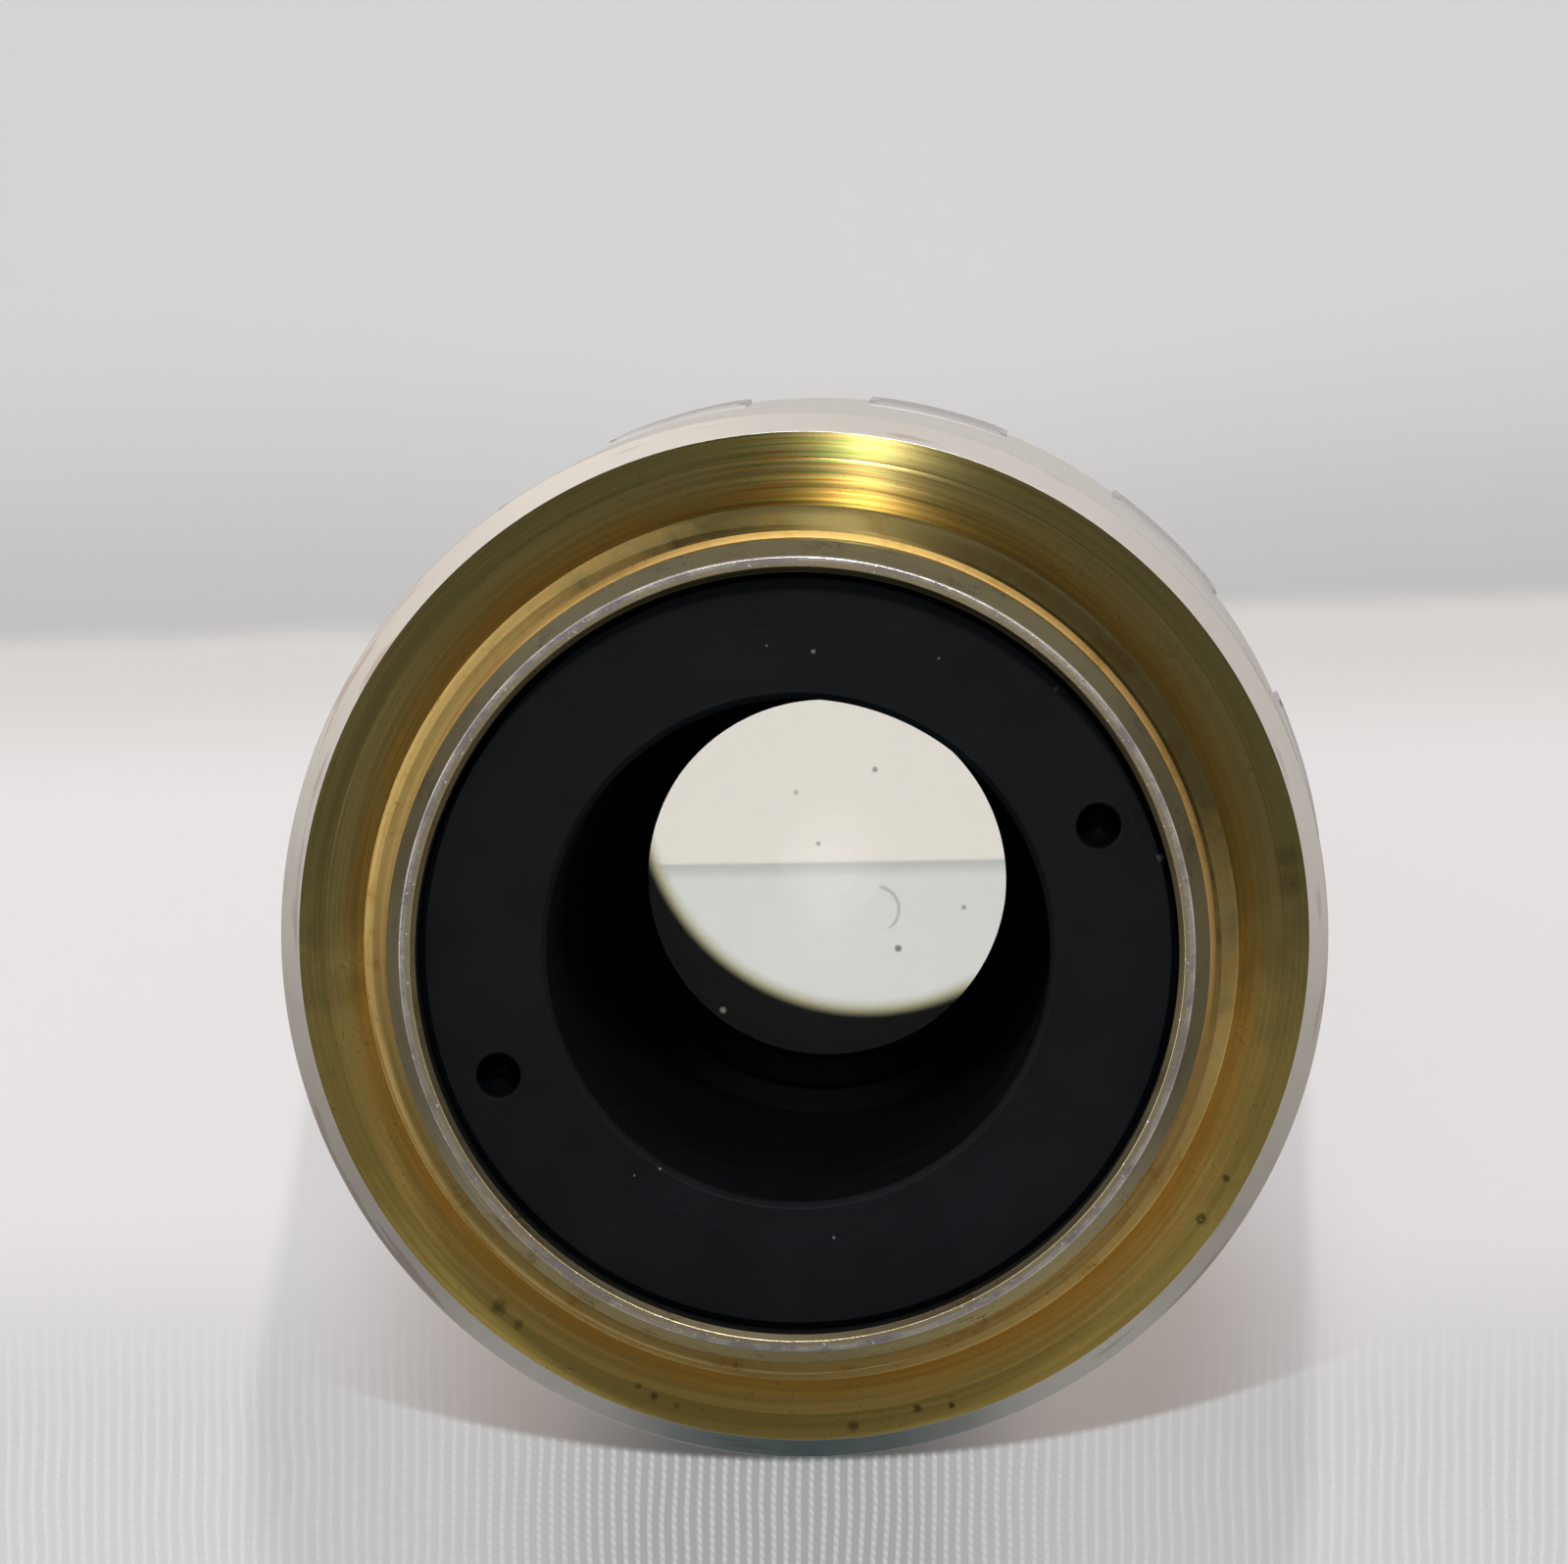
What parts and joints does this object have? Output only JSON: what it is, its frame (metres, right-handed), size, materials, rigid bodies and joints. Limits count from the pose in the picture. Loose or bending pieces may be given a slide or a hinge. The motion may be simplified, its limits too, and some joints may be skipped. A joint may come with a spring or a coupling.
{
  "type": "microscope objective",
  "caption": "Microscope objective: turned metal barrel with knurled grip pads, brass screw mount, spanner ring, conical nose and cemented lenses in cells.",
  "frame": {"origin": "on the optical axis in the plane of the shoulder, the face that seats on the nosepiece, where the mounting thread begins", "axes": "+Z along the optical axis, from the front lens towards the mounting thread; +X and +Y are square to it, with a grip pad centred 16 degrees from +X"},
  "size_m": [0.0248, 0.0248, 0.0412],
  "materials": {
    "barrel_brass": "bare turned and tarnished brass at the thread, pilot and shoulder, satin chrome plate on the barrel",
    "satin_chrome": "satin chrome plate with fine turning lines",
    "screw_steel": "blued steel",
    "black_metal": "satin black, blackened against stray light",
    "tube_brass": "brass, blackened",
    "flint_glass": "polished and coated",
    "crown_glass": "polished and coated"
  },
  "bodies": {
    "root": {"outer_barrel": "barrel_brass", "nose_sleeve": "satin_chrome", "nose_set_screws": "screw_steel", "rear_retaining_ring": "black_metal", "inner_lens_tube": "tube_brass", "baffle_tube": "black_metal", "parfocal_shim": "tube_brass", "rear_cell": "black_metal", "rear_lens_ring": "black_metal", "aperture_stop": "black_metal", "middle_cell": "black_metal", "middle_lens_ring": "black_metal", "front_spacer": "black_metal", "front_cell": "black_metal", "front_lens_ring": "black_metal", "front_retaining_ring": "black_metal", "rear_flint_lens": "flint_glass", "rear_crown_lens": "crown_glass", "middle_crown_lens": "crown_glass", "middle_flint_lens": "flint_glass", "front_lens": "crown_glass"}
  },
  "joints": []
}
